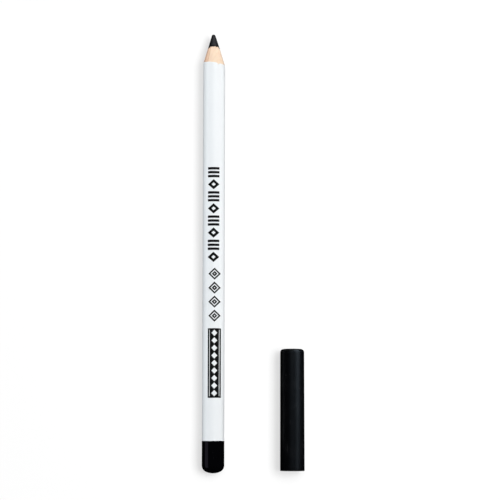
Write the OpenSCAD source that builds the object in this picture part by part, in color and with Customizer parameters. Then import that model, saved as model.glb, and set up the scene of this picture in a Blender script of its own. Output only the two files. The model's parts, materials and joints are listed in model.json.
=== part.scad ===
// Wood-cased eyeliner pencil, lying on its side with its pull-off cap beside it.
// The pencil lies along +Y with the sharpened tip at the far end. The cap lies to its right with
// its mouth towards -Y. Both rest on z = 0, with the origin under the middle of the pair.
// Sizes are in millimetres.

/* [Pencil] */
// Overall length, from the dipped end to the tip of the core
pencil_len = 150.6; // [125:0.1:180]
// Diameter over the white lacquer
barrel_d = 7.5; // [6.6:0.1:8.2]
// Thickness of the lacquer on the wood
lacquer_t = 0.1; // [0.06:0.01:0.3]
// Diameter of the kohl core
core_d = 3.65; // [2:0.05:5]
// How far the glue seam between the two slats is turned to the left of the top, in degrees
seam_angle = 35; // [-80:1:80]

/* [Sharpened end] */
// Half angle of the sharpened cone, in degrees
cone_angle = 16.85; // [14:0.05:24]
// Radius of the rounded tip
tip_r = 0.69; // [0.15:0.01:0.8]
// How far off centre the blade cut the cone, to the left
cone_offset = 0.17; // [0:0.01:0.3]

/* [Dipped end] */
// Length of the black dip along the barrel
dip_len = 10.85; // [5:0.05:20]
// Thickness of the dip over the lacquer
dip_t = 0.04; // [0.02:0.01:0.15]
// Radius of the crown of the domed end
crown_r = 6; // [4.8:0.1:12]
// Radius where the dome turns into the side
shoulder_r = 2.4; // [0.4:0.1:2.6]

/* [Printed border] */
// Thickness of the ink
ink_t = 0.04; // [0.03:0.01:0.08]
// Gap from the dip to the black panel
panel_from_dip = 14.4; // [5:0.1:20]
// Length of the black panel
panel_len = 23.4; // [12:0.1:30]
// Width of the black panel, seen from above
panel_w = 4.4; // [3:0.1:5.5]
// Number of lozenges left open in the panel
panel_lozenges = 9; // [3:1:12]
// Width of the lozenges left open in the panel
panel_lozenge_w = 2; // [1:0.1:2.4]
// Gap between the points of neighbouring lozenges
panel_lozenge_gap = 0.35; // [0.2:0.05:0.8]
// Width of the fine lines left open along the panel's edges
panel_line_w = 0.19; // [0.1:0.01:0.3]
// Distance of the fine lines from the panel's edges, and of the lozenges from its ends
panel_margin = 0.46; // [0.2:0.01:0.6]
// Gap from the panel to the row of outlined lozenges
outlines_from_panel = 2.2; // [1:0.1:5]
// Number of outlined lozenges
outline_count = 4; // [1:1:5]
// Length of an outlined lozenge along the barrel
outline_len = 4.1; // [2.5:0.1:5]
// Width of an outlined lozenge
outline_w = 4.2; // [2.5:0.1:5]
// Width of the outlined lozenge's double line
outline_line_w = 0.48; // [0.15:0.01:0.5]
// Distance between the two lines of an outlined lozenge
outline_band = 0.8; // [0.7:0.05:1]
// How far right of the top the panel and the outlined row are printed
print_shift = 0.4; // [-0.6:0.1:0.6]
// Gap from the outlined row to the row of solid marks
marks_from_outlines = 1.9; // [1:0.1:5]
// Number of solid marks, lozenges and bar groups in turn
mark_count = 8; // [1:1:9]
// Length of a solid mark along the barrel
mark_len = 3.5; // [2.5:0.1:4]
// Width of a solid mark
mark_w = 3.9; // [2.5:0.1:5]
// Width of a solid mark's strokes
mark_stroke = 0.82; // [0.4:0.01:0.9]
// Gap between neighbouring marks and outlined lozenges
mark_gap = 0.65; // [0.3:0.05:1]

/* [Cap] */
// Length of the cap
cap_len = 41; // [30:0.5:50]
// Radial clearance of the cap's bore round the barrel
cap_clearance = 0.03; // [0.01:0.01:0.1]
// Thickness of the cap's wall at the mouth
cap_wall = 0.34; // [0.25:0.01:1]
// How much slimmer the cap's radius is at its closed end, for release from the mould
cap_draft = 0.07; // [0:0.005:0.15]
// Radius of the closed end's rounded edge
cap_corner_r = 1.1; // [0.4:0.1:1.5]
// Thickness of the closed end
cap_end_wall = 1; // [0.6:0.1:3]
// Free room beyond the tip with the cap pushed home
tip_room = 2.5; // [1:0.1:6]
// How far the stop inside the cap stands in from the bore
stop_step = 0.35; // [0.15:0.01:0.8]
// Width of the chamfer inside the cap's mouth
mouth_chamfer = 0.12; // [0.05:0.01:0.2]
// Distance between the axes of the pencil and the cap lying beside it
cap_away = 26.72; // [12:0.01:60]
// How far the cap's mouth lies beyond the pencil's dipped end
cap_along = 0.8; // [0:0.05:10]

/* [Hidden] */
$fn = 96;
ARC_STEPS = 14;
CUT_MARGIN = 1;

// Radii of the pencil's layers, from the middle outwards
core_r = core_d / 2;
barrel_r = barrel_d / 2;
wood_r = barrel_r - lacquer_t;
dip_r = barrel_r + dip_t;

// The dome is a crown and a shoulder with a shared tangent
dome_h = crown_r - sqrt(pow(crown_r - shoulder_r, 2) - pow(dip_r - shoulder_r, 2));
crown_sweep = asin((dip_r - shoulder_r) / (crown_r - shoulder_r));

// Length before sharpening, and heights on the sharpened cone, along the pencil
stock_len = pencil_len + CUT_MARGIN;
tip_centre = pencil_len - tip_r;
cone_apex = tip_centre + tip_r / sin(cone_angle);

// The print's places along the pencil
panel_start = dip_len + panel_from_dip;
outlines_start = panel_start + panel_len + outlines_from_panel;
outlines_len = outline_count * outline_len + (outline_count - 1) * mark_gap;
marks_start = outlines_start + outlines_len + marks_from_outlines;

// The cap's bore follows the barrel, and its stop meets the sharpened cone
bore_r = barrel_r + cap_clearance;
chamber_r = bore_r - stop_step;
cap_mouth_r = bore_r + cap_wall;
cap_end_r = cap_mouth_r - cap_draft;
stop_on_cone = cone_apex - (chamber_r - cone_offset) / tan(cone_angle);
chamber_len = tip_room + pencil_len - stop_on_cone;
grip_len = cap_len - cap_end_wall - chamber_len;

// Where the pencil's dipped end and the cap's mouth lie, with the pair centred on the origin
pencil_at = [-(cap_away + cap_mouth_r - dip_r) / 2, -max(pencil_len, cap_along + cap_len) / 2, dip_r];
cap_at = [pencil_at[0] + cap_away, pencil_at[1] + cap_along, cap_mouth_r];

// Points of an arc about centre c, from angle a to angle b
function arc(c, r, a, b) =
    [for (i = [0:ARC_STEPS]) c + r * [cos(a + (b - a) * i / ARC_STEPS), sin(a + (b - a) * i / ARC_STEPS)]];

// Half outline of the domed end, from the axis to the side, lying inset inside the dip's surface
function dome(inset) = concat(
    arc([0, crown_r], crown_r - inset, -90, -90 + crown_sweep),
    arc([dip_r - shoulder_r, dome_h], shoulder_r - inset, -90 + crown_sweep, 0));

// Half diagonals of a lozenge whose sides lie inset inside those of one with half diagonals h
function inner_lozenge(h, inset) = h * (1 - inset * norm(h) / (h[0] * h[1]));

// Turns a piece that stands on its end so that it lies along +Y from the point given
module lie(at) {
    translate(at) rotate([-90, 0, 0]) children();
}

// The stock of wood and core before it is lacquered: a round rod with a domed end, longer than the
// sharpened pencil
module stock() {
    rotate_extrude() polygon(concat(dome(lacquer_t + dip_t), [[wood_r, stock_len], [0, stock_len]]));
}

// Everything that the sharpener's blade leaves
module sharpened() {
    swing_r = dip_r + CUT_MARGIN;
    translate([-cone_offset, 0, 0]) rotate_extrude() polygon(concat(
        [[0, -CUT_MARGIN], [swing_r, -CUT_MARGIN], [swing_r, cone_apex - swing_r / tan(cone_angle)]],
        arc([0, tip_centre], tip_r, cone_angle, 90)));
}

module core_rod() {
    cylinder(r = core_r, h = stock_len);
}

// The half of space on the left (-1) or right (1) of the glue seam
module seam_side(side) {
    span = 2 * pencil_len;
    rotate([0, 0, -seam_angle]) translate([side * span / 2, 0, pencil_len / 2]) cube(span, center = true);
}

module slat(side) {
    lie(pencil_at) intersection() {
        difference() {
            stock();
            core_rod();
        }
        sharpened();
        seam_side(side);
    }
}

module kohl_core() {
    color("#19191b") lie(pencil_at) intersection() {
        core_rod();
        stock();
        sharpened();
    }
}

module slat_left() {
    color("#e0bd98") slat(-1);
}

module slat_right() {
    color("#f0d8b8") slat(1);
}

module lacquer_coat() {
    color("#f3f5f6") lie(pencil_at) intersection() {
        translate([0, 0, dome_h]) difference() {
            cylinder(r = barrel_r, h = pencil_len - dome_h);
            translate([0, 0, -CUT_MARGIN]) cylinder(r = wood_r, h = pencil_len + CUT_MARGIN);
        }
        sharpened();
    }
}

module end_dip() {
    inner = dome(lacquer_t + dip_t);
    color("#08080a") lie(pencil_at) rotate_extrude() polygon(concat(
        dome(0),
        [[dip_r, dip_len], [barrel_r, dip_len], [barrel_r, dome_h]],
        [for (i = [len(inner) - 1:-1:0]) inner[i]]));
}

// Ink laid on top of the barrel, in the shape of the flat drawing given, seen from above
module printed() {
    intersection() {
        lie(pencil_at) difference() {
            cylinder(r = barrel_r + ink_t, h = pencil_len);
            translate([0, 0, -CUT_MARGIN]) cylinder(r = barrel_r, h = pencil_len + 2 * CUT_MARGIN);
        }
        translate(pencil_at) linear_extrude(barrel_d) children();
    }
}

module lozenge(h) {
    polygon([[h[0], 0], [0, h[1]], [-h[0], 0], [0, -h[1]]]);
}

module lozenge_ring(h, line_w) {
    difference() {
        lozenge(h);
        lozenge(inner_lozenge(h, line_w));
    }
}

module print_panel() {
    row_len = panel_len - 2 * panel_margin;
    pitch = (row_len + panel_lozenge_gap) / panel_lozenges;
    line_x = (panel_w - panel_line_w) / 2 - panel_margin;
    color("#111113") printed() translate([print_shift, panel_start + panel_len / 2]) difference() {
        square([panel_w, panel_len], center = true);
        for (i = [0:panel_lozenges - 1])
            translate([0, (i - (panel_lozenges - 1) / 2) * pitch])
                lozenge([panel_lozenge_w, pitch - panel_lozenge_gap] / 2);
        for (side = [-1, 1])
            translate([side * line_x, 0]) square([panel_line_w, row_len], center = true);
    }
}

module print_outlines() {
    half = [outline_w, outline_len] / 2;
    color("#111113") printed() for (i = [0:outline_count - 1])
        translate([print_shift, outlines_start + outline_len / 2 + i * (outline_len + mark_gap)]) {
            lozenge_ring(half, outline_line_w);
            lozenge_ring(inner_lozenge(half, outline_band), outline_line_w);
        }
}

module mark_bars() {
    step = (mark_len - mark_stroke) / 2;
    for (i = [-1:1])
        translate([0, i * step]) square([mark_w, mark_stroke], center = true);
}

module print_marks() {
    color("#111113") printed() for (i = [0:mark_count - 1])
        translate([0, marks_start + mark_len / 2 + i * (mark_len + mark_gap)]) {
            if (i % 2 == 0) lozenge_ring([mark_w, mark_len] / 2, mark_stroke);
            else mark_bars();
        }
}

module cap() {
    color("#141416") lie(cap_at) rotate_extrude() polygon(concat(
        [[bore_r + mouth_chamfer, 0], [cap_mouth_r, 0]],
        arc([cap_end_r - cap_corner_r, cap_len - cap_corner_r], cap_corner_r, 0, 90),
        [[0, cap_len], [0, cap_len - cap_end_wall], [chamber_r, cap_len - cap_end_wall]],
        [[chamber_r, grip_len], [bore_r, grip_len], [bore_r, mouth_chamfer]]));
}

kohl_core();
slat_left();
slat_right();
lacquer_coat();
end_dip();
print_panel();
print_outlines();
print_marks();
cap();
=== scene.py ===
"""Looks of a wood-cased eyeliner pencil that lies beside its pull-off cap.

Each class below is one part of the pencil, the cap or the studio. Sizes are in millimetres on the
pencil's or the cap's own axis, and Rod puts a finished mesh in its place in metres.
"""

import json
import logging
import math
from collections.abc import Callable
from dataclasses import dataclass
from enum import Enum

import bmesh
import bpy
from mathutils import Matrix, Vector, noise


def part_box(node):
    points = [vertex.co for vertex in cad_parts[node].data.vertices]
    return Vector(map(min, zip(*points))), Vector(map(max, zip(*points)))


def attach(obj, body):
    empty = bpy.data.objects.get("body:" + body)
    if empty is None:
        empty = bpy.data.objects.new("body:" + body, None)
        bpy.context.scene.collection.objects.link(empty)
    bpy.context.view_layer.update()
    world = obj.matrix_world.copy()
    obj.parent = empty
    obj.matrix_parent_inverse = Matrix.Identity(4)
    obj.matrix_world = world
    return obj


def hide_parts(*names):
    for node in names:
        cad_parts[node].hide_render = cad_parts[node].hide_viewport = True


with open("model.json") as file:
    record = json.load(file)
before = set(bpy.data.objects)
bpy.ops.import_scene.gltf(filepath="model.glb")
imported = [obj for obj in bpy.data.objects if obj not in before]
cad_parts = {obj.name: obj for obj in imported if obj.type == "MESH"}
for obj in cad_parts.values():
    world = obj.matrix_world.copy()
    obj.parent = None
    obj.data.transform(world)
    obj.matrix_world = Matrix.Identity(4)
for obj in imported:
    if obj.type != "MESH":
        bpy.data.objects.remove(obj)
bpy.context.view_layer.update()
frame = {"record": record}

LOG = logging.getLogger("eyeliner")
MM = 0.001
MERGE_MM = 1e-4
SLIVER_MM = 1e-5
ON_CONE_MM = 1e-3
WAVE_PERIOD = 0.314
BODY = "root"
CAP_PIECE = "cap_shell"
UP = Vector((0, 0, 1))
AXIS = Vector((0, 1, 0))
COOL = (0.68, 0.84, 1.0)

Point = tuple[float, float]
Triple = tuple[float, float, float]
Colour = Triple
Socket = bpy.types.NodeSocket


class Slot(Enum):
    """Material slots of the record."""

    KOHL = "kohl"
    WOOD = "wood"
    LACQUER = "white_lacquer"
    DIP = "black_dip"
    INK = "black_ink"
    CAP = "black_cap"


class Side(Enum):
    """Side of the glue seam that a slat of wood lies on."""

    LEFT = "left"
    RIGHT = "right"


class Motif(Enum):
    """Shapes of the solid marks in the printed border, in their order."""

    RING = "ring"
    BARS = "bars"


class Form(Enum):
    """Shapes that the border is drawn with, by the turn in degrees that each gives four points."""

    LOZENGE = 0
    RECTANGLE = 45


# Meshes


@dataclass(frozen=True)
class Rod:
    """A straight round axis that runs along +Y, and the radius round it, in metres."""

    x: float
    z: float
    back: float
    front: float
    radius: float

    @classmethod
    def of(cls, *nodes: str) -> "Rod":
        """Reads the axis of round CAD nodes.

        Args:
            nodes: Names of nodes that together fill a round outline.

        Returns:
            The axis through the middle of their common box.
        """
        boxes = [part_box(node) for node in nodes]
        low = [min(box[0][i] for box in boxes) for i in range(3)]
        high = [max(box[1][i] for box in boxes) for i in range(3)]
        return cls((low[0] + high[0]) / 2, (low[2] + high[2]) / 2, low[1], high[1], (high[0] - low[0]) / 2)

    @property
    def length_mm(self) -> float:
        """Length of the rod in millimetres."""
        return (self.front - self.back) / MM

    @property
    def radius_mm(self) -> float:
        """Radius of the rod in millimetres."""
        return self.radius / MM

    @property
    def place(self) -> Matrix:
        """Turns millimetres from the rod's back end into metres in the shared frame."""
        return Matrix.Translation((self.x, self.back, self.z)) @ Matrix.Scale(MM, 4)


def arc(centre: Point, radius: float, start: float, end: float, steps: int) -> list[Point]:
    """Points of an arc.

    Args:
        centre: Middle of the arc, as radius from the axis and distance along it.
        radius: Radius of the arc.
        start: Angle of the first point in degrees.
        end: Angle of the last point in degrees.
        steps: Number of steps between the two.

    Returns:
        The points in order, both ends included.
    """
    turns = [math.radians(start + (end - start) * i / steps) for i in range(steps + 1)]
    return [(centre[0] + radius * math.cos(a), centre[1] + radius * math.sin(a)) for a in turns]


def run(start: Point, end: Point, steps: int) -> list[Point]:
    """Points of a straight line from start to end, with the end left out."""
    return [tuple(a + (b - a) * i / steps for a, b in zip(start, end)) for i in range(steps)]


def spun(outline: list[Point], segments: int, start: float = 0.0, sweep: float = 360.0) -> bmesh.types.BMesh:
    """Spins a closed outline round the Y axis into a closed solid.

    Args:
        outline: Points of the outline, as radius from the axis and distance along it.
        segments: Number of steps in the sweep.
        start: Angle from the top, towards the right, at which the outline starts, in degrees.
        sweep: Angle that the outline sweeps through in degrees.

    Returns:
        The solid, with its faces pointing outwards.
    """
    bm = bmesh.new()
    ring = [bm.verts.new((0, along, radius)) for radius, along in outline]
    geometry = [*ring, *(bm.edges.new(pair) for pair in zip(ring, ring[1:] + ring[:1]))]
    whole = sweep >= 360
    if not whole:
        geometry.append(bm.faces.new(ring))
    bmesh.ops.rotate(bm, verts=ring, matrix=Matrix.Rotation(math.radians(start), 3, AXIS))
    bmesh.ops.spin(
        bm, geom=geometry, axis=AXIS, angle=math.radians(sweep), steps=segments, use_merge=whole
    )
    return closed(bm)


def closed(bm: bmesh.types.BMesh) -> bmesh.types.BMesh:
    """Merges the doubles of a mesh and points its faces outwards.

    Args:
        bm: The mesh.

    Returns:
        The same mesh.
    """
    bmesh.ops.remove_doubles(bm, verts=bm.verts, dist=MERGE_MM)
    bmesh.ops.dissolve_degenerate(bm, dist=SLIVER_MM, edges=bm.edges)
    bmesh.ops.recalc_face_normals(bm, faces=bm.faces)
    return bm


def turn_of(point: Vector) -> float:
    """Angle of a point round the Y axis, in degrees from the top towards the right."""
    return math.degrees(math.atan2(point.x, point.z))


def bump_at(value: float, middle: float, width: float) -> float:
    """Smooth hump of height 1 at the middle, which falls to nothing about two widths away."""
    return math.exp(-(((value - middle) / width) ** 2))


def mesh_of(bm: bmesh.types.BMesh, name: str) -> bpy.types.Mesh:
    """Turns a bmesh into a mesh.

    Args:
        bm: The bmesh, which is used up.
        name: Name of the mesh.

    Returns:
        The mesh.
    """
    mesh = bpy.data.meshes.new(name)
    bm.to_mesh(mesh)
    bm.free()
    return mesh


def placed(name: str, data: bpy.types.ID) -> bpy.types.Object:
    """Makes an object and adds it to the scene.

    Args:
        name: Name of the object.
        data: Its mesh, light or camera.

    Returns:
        The object.
    """
    thing = bpy.data.objects.new(name, data)
    bpy.context.scene.collection.objects.link(thing)
    return thing


def piece(
    bm: bmesh.types.BMesh,
    name: str,
    rod: Rod,
    slot: Slot,
    material: bpy.types.Material,
    *nodes: str,
    crease: float = 35,
) -> bpy.types.Object:
    """Makes a finished mesh an object of the pencil.

    Args:
        bm: The mesh in millimetres, on the rod's axis. It is used up.
        name: Name of the piece.
        rod: The axis that the mesh lies on.
        slot: Slot of the record that its finish belongs to; not used.
        material: Its finish.
        nodes: CAD nodes that it stands for.
        crease: Angle in degrees above which an edge is drawn sharp.

    Returns:
        The object, which rides on the body.
    """
    bm.transform(rod.place)
    mesh = mesh_of(bm, name)
    mesh.shade_smooth()
    mesh.set_sharp_from_angle(angle=math.radians(crease))
    mesh.materials.append(material)
    thing = placed(name, mesh)
    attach(thing, BODY)
    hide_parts(*nodes)
    LOG.info("%s: %d faces, stands for %s", name, len(mesh.polygons), ", ".join(nodes))
    return thing


# Shader nodes


def rgba(colour: object) -> object:
    """Adds full opacity to a plain colour, and leaves a socket as it is."""
    return colour if isinstance(colour, Socket) else (*colour, 1)


def preset(node: bpy.types.Node, **values: object) -> None:
    """Sets plain values on a node's own inputs, named with an underscore for each space."""
    for name, value in values.items():
        node.inputs[name.replace("_", " ")].default_value = value


class Graph:
    """Adds and joins the nodes of a material, a world or a group."""

    def __init__(self, tree: bpy.types.NodeTree) -> None:
        """Starts on a node tree."""
        self.tree = tree

    def add(self, kind: str, inputs: dict | None = None, **settings: object) -> bpy.types.Node:
        """Adds a node.

        Args:
            kind: Type of the node, without its ShaderNode prefix.
            inputs: Values or sockets for its inputs, by name or number.
            settings: Properties of the node.

        Returns:
            The node.
        """
        node = self.tree.nodes.new(f"ShaderNode{kind}")
        for name, value in settings.items():
            setattr(node, name, value)
        for key, value in (inputs or {}).items():
            self.feed(node.inputs[key], value)
        return node

    def feed(self, target: Socket, value: object) -> None:
        """Joins a socket to an input, or gives the input a plain value.

        Args:
            target: The input.
            value: The socket or the value.
        """
        if isinstance(value, Socket):
            self.tree.links.new(value, target)
        else:
            target.default_value = value

    def math(self, operation: str, *values: object) -> Socket:
        """Output of a Math node."""
        return self.add("Math", dict(enumerate(values)), operation=operation).outputs[0]

    def times(self, first: object, second: object) -> Socket:
        """Product of two values."""
        return self.math("MULTIPLY", first, second)

    def plus(self, first: object, second: object) -> Socket:
        """Sum of two values."""
        return self.math("ADD", first, second)

    def minus(self, first: object, second: object) -> Socket:
        """Difference of two values."""
        return self.math("SUBTRACT", first, second)

    def blend(self, share: object, value: object, rest: object) -> Socket:
        """A share times a value, with the rest added."""
        return self.math("MULTIPLY_ADD", share, value, rest)

    def size(self, value: object) -> Socket:
        """A value without its sign."""
        return self.math("ABSOLUTE", value)

    def mix(self, factor: object, first: object, second: object, blend: str = "MIX") -> Socket:
        """Colour between two colours."""
        sockets = {0: factor, 6: rgba(first), 7: rgba(second)}
        return self.add("Mix", sockets, data_type="RGBA", blend_type=blend).outputs[2]

    def ease(
        self, value: Socket, low: object, high: object, first: object = 0.0, last: object = 1.0
    ) -> Socket:
        """Smooth step from first to last as the value goes from low to high."""
        sockets = {0: value, 1: low, 2: high, 3: first, 4: last}
        return self.add("MapRange", sockets, interpolation_type="SMOOTHSTEP").outputs[0]

    def stretch(self, place: Socket, scale: Triple, turn: Triple = (0, 0, 0)) -> Socket:
        """Coordinates turned and scaled along each axis."""
        return self.add("Mapping", {"Vector": place, "Rotation": turn, "Scale": scale}).outputs[0]

    def axis(self, vector: Socket, name: str) -> Socket:
        """X, Y or Z of a vector."""
        return self.add("SeparateXYZ", {0: vector}).outputs[name]

    def length(self, vector: Socket) -> Socket:
        """Length of a vector."""
        return self.add("VectorMath", {0: vector}, operation="LENGTH").outputs["Value"]

    def noise(self, place: Socket, scale: object, detail: float = 2, distortion: float = 0) -> Socket:
        """Noise from 0 to 1."""
        sockets = {"Vector": place, "Scale": scale, "Detail": detail, "Distortion": distortion}
        return self.add("TexNoise", sockets).outputs[0]

    def group(self, shared: bpy.types.NodeTree, **inputs: object) -> Socket:
        """Places a shared effect.

        Args:
            shared: The effect's group.
            inputs: Values or sockets for its inputs, named in lower case.

        Returns:
            Its output.
        """
        node = self.add("Group", node_tree=shared)
        for key, value in inputs.items():
            self.feed(node.inputs[key.title()], value)
        return node.outputs[0]


def shared_effect(name: str, output: str, **inputs: float) -> tuple[Graph, list[Socket], Socket]:
    """Starts a shader node group, whose first input is a vector.

    Args:
        name: Name of the effect.
        output: Name of its output, which is a value.
        inputs: Names of its other inputs in lower case, with their usual values.

    Returns:
        The group's graph, its inputs and the socket of its output.
    """
    tree = bpy.data.node_groups.new(name, "ShaderNodeTree")
    tree.interface.new_socket(name="Vector", in_out="INPUT", socket_type="NodeSocketVector")
    for label, value in inputs.items():
        socket = tree.interface.new_socket(name=label.title(), in_out="INPUT", socket_type="NodeSocketFloat")
        socket.default_value = value
    tree.interface.new_socket(name=output, in_out="OUTPUT", socket_type="NodeSocketFloat")
    given = tree.nodes.new("NodeGroupInput").outputs
    out = tree.nodes.new("NodeGroupOutput").inputs[0]
    return Graph(tree), [given[i] for i in range(len(inputs) + 1)], out


class Effects:
    """Surface effects that several finishes share, each built once."""

    def __init__(self) -> None:
        """Builds every shared effect."""
        self.mottle = self._mottle()
        self.peel = self._peel()
        self.scratches = self._scratches()
        self.specks = self._specks()

    @staticmethod
    def _mottle() -> bpy.types.NodeTree:
        """Builds soft patches at two sizes, which lighten and darken a surface a little.

        Returns:
            The group.
        """
        graph, (place, scale, amount), out = shared_effect("mottle", "Factor", scale=1, amount=0.1)
        broad = graph.noise(place, scale, 2)
        fine = graph.noise(place, graph.times(scale, 7), 4)
        both = graph.plus(graph.times(broad, 0.65), graph.times(fine, 0.35))
        graph.feed(out, graph.plus(graph.times(graph.minus(both, 0.5), amount), 1))
        return graph.tree

    @staticmethod
    def _peel() -> bpy.types.NodeTree:
        """Builds the gentle pebbled swell that wet lacquer leaves when it dries.

        Returns:
            The group.
        """
        graph, (place, scale, grit), out = shared_effect("peel", "Height", scale=1, grit=0.1)
        sockets = {"Vector": place, "Scale": scale, "Smoothness": 1}
        cells = graph.add("TexVoronoi", sockets, feature="SMOOTH_F1").outputs[0]
        swell = graph.noise(place, graph.times(scale, 0.4), 1)
        fine = graph.noise(place, graph.times(scale, 20), 3)
        graph.feed(out, graph.blend(fine, grit, graph.plus(graph.times(cells, -0.6), swell)))
        return graph.tree

    @staticmethod
    def _scratches() -> bpy.types.NodeTree:
        """Builds hairline handling scratches, long along the pencil and few.

        Returns:
            The group.
        """
        graph, (place, scale, rarity), out = shared_effect("scratches", "Mask", scale=1, rarity=0.6)
        masks = []
        for tilt in (0.12, -0.2):
            crest = graph.noise(graph.stretch(place, (9, 0.22, 9), (0, 0, tilt)), scale, 1, 0.4)
            thin = graph.ease(graph.size(graph.minus(crest, 0.5)), 0.0, 0.012, 1.0, 0.0)
            patch = graph.noise(place, graph.times(scale, 0.5), 1)
            masks.append(graph.times(thin, graph.ease(patch, rarity, 0.85)))
        graph.feed(out, graph.math("MAXIMUM", *masks))
        return graph.tree

    @staticmethod
    def _specks() -> bpy.types.NodeTree:
        """Builds sparse specks, such as dust, pinholes and crumbs.

        Returns:
            The group.
        """
        start = shared_effect("specks", "Mask", scale=1, size=0.1, share=0.2)
        graph, (place, scale, size, share), out = start
        cells = graph.add("TexVoronoi", {"Vector": place, "Scale": scale}).outputs
        chance = graph.add("SeparateColor", {0: cells["Color"]}).outputs
        reach = graph.times(size, graph.plus(chance[1], 0.3))
        near = graph.ease(cells["Distance"], graph.times(reach, 0.5), reach, 1.0, 0.0)
        graph.feed(out, graph.times(near, graph.math("LESS_THAN", chance[0], share)))
        return graph.tree


class Paint(Graph):
    """Graph of one material, with patterns in millimetres on the axis of its piece."""

    def __init__(self, material: bpy.types.Material, rod: Rod, effects: Effects) -> None:
        """Starts on a material.

        Args:
            material: The material, which uses nodes.
            rod: The axis that its patterns follow.
            effects: The shared effects.
        """
        super().__init__(material.node_tree)
        self.shader = material.node_tree.nodes["Principled BSDF"]
        self.effects = effects
        where = self.add("TexCoord").outputs["Object"]
        sockets = {"Vector": where, "Location": (rod.x, rod.back, rod.z), "Scale": (MM, MM, MM)}
        self.place = self.add("Mapping", sockets, vector_type="TEXTURE").outputs[0]

    def mottle(self, scale: float, amount: float) -> Socket:
        """Factor of soft patches round 1."""
        return self.group(self.effects.mottle, vector=self.place, scale=scale, amount=amount)

    def peel(self, scale: float, grit: float) -> Socket:
        """Height of a pebbled swell."""
        return self.group(self.effects.peel, vector=self.place, scale=scale, grit=grit)

    def hairs(self, scale: float, rarity: float) -> Socket:
        """Mask of hairline scratches."""
        return self.group(self.effects.scratches, vector=self.place, scale=scale, rarity=rarity)

    def specks(self, scale: float, size: float, share: float) -> Socket:
        """Mask of specks, on a share of the cells."""
        return self.group(self.effects.specks, vector=self.place, scale=scale, size=size, share=share)

    def grain(
        self, scale: Triple, detail: float = 2, distortion: float = 0, turn: Triple = (0, 0, 0)
    ) -> Socket:
        """Noise with its own scale along each axis, per millimetre."""
        return self.noise(self.stretch(self.place, scale, turn), 1.0, detail, distortion)

    def along(self) -> Socket:
        """Distance along the axis from its back end."""
        return self.axis(self.place, "Y")

    def turn(self) -> Socket:
        """Angle round the axis, in radians from the top towards the right."""
        return self.math("ARCTAN2", self.axis(self.place, "X"), self.axis(self.place, "Z"))

    def tint(self, factor: Socket, colour: object) -> Socket:
        """Colour multiplied by a factor that varies over the surface."""
        grey = self.add("CombineColor", {0: factor, 1: factor, 2: factor}).outputs[0]
        return self.mix(1.0, colour, grey, "MULTIPLY")

    def base(self, colour: Socket) -> None:
        """Gives the shader its colour."""
        self.feed(self.shader.inputs["Base Color"], colour)

    def rough(self, value: Socket, low: float, high: float, first: float, last: float) -> None:
        """Eases the shader's roughness from first to last as the value goes from low to high."""
        self.feed(self.shader.inputs["Roughness"], self.ease(value, low, high, first, last))

    def relief(self, height: Socket, depth_mm: float) -> None:
        """Feeds a height from 0 to 1 to the shader's normal, at a depth in millimetres."""
        bump = self.add("Bump", {"Height": height, "Distance": depth_mm * MM, "Strength": 1.0})
        self.feed(self.shader.inputs["Normal"], bump.outputs[0])


@dataclass(frozen=True)
class Finish:
    """A finish with procedural colour, roughness and relief."""

    name: str
    colour: Colour
    roughness: float
    rod: Rod
    effects: Effects

    def build(self) -> bpy.types.Material:
        """Makes the material.

        Returns:
            The material.
        """
        material = bpy.data.materials.new(self.name)
        material.use_nodes = True
        paint = Paint(material, self.rod, self.effects)
        preset(paint.shader, Roughness=self.roughness)
        self.dress(paint)
        return material

    def dress(self, paint: Paint) -> None:
        """Adds the finish's own patterns to the material's graph."""
        raise NotImplementedError


@dataclass(frozen=True)
class KohlFinish(Finish):
    """Soft waxy black, with the fine turning marks and crumbs that the blade leaves."""

    mark_pitch: float = 0.11
    border: float = 140.0
    # Painted shade on the core's left flank: the factor it darkens to there, and the turns over which it
    # fades out.
    left_shade: float = 0.1
    left_shade_turns: Point = (-60, -18)
    rim_dark: float = 0.5
    rim_width: float = 0.6
    crumb_colour: Colour = (0.2, 0.17, 0.15)

    def dress(self, paint: Paint) -> None:
        """Adds mottled wax, turning marks and crumbs, a darker band along the border with the wood, and
        painted shade on the left flank.

        Args:
            paint: Graph of the material.
        """
        patches = paint.mottle(1.3, 0.9)
        crumbs = paint.specks(3.0, 0.14, 0.12)
        # Painted shade: the core's left flank is darkened, fading out towards the top.
        shade_from, shade_to = map(math.radians, self.left_shade_turns)
        flank = paint.ease(paint.turn(), shade_from, shade_to, self.left_shade, 1.0)
        # Darker along the border with the wood.
        rim = paint.ease(paint.minus(paint.along(), self.border), 0.0, self.rim_width, self.rim_dark, 1.0)
        body = paint.tint(paint.times(patches, paint.times(flank, rim)), self.colour)
        crumbs = paint.times(paint.times(crumbs, 0.35), rim)
        paint.base(paint.mix(crumbs, body, self.crumb_colour))
        marks = paint.grain((0.6, 1 / self.mark_pitch, 0.6), 3, 0.3, turn=(0.02, 0, 0.04))
        drag = paint.grain((2.5, 7, 2.5), 4)
        paint.rough(drag, 0.3, 0.75, self.roughness - 0.1, self.roughness + 0.15)
        paint.relief(paint.blend(drag, 0.5, paint.plus(marks, paint.times(crumbs, 1.5))), 0.02)


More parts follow.
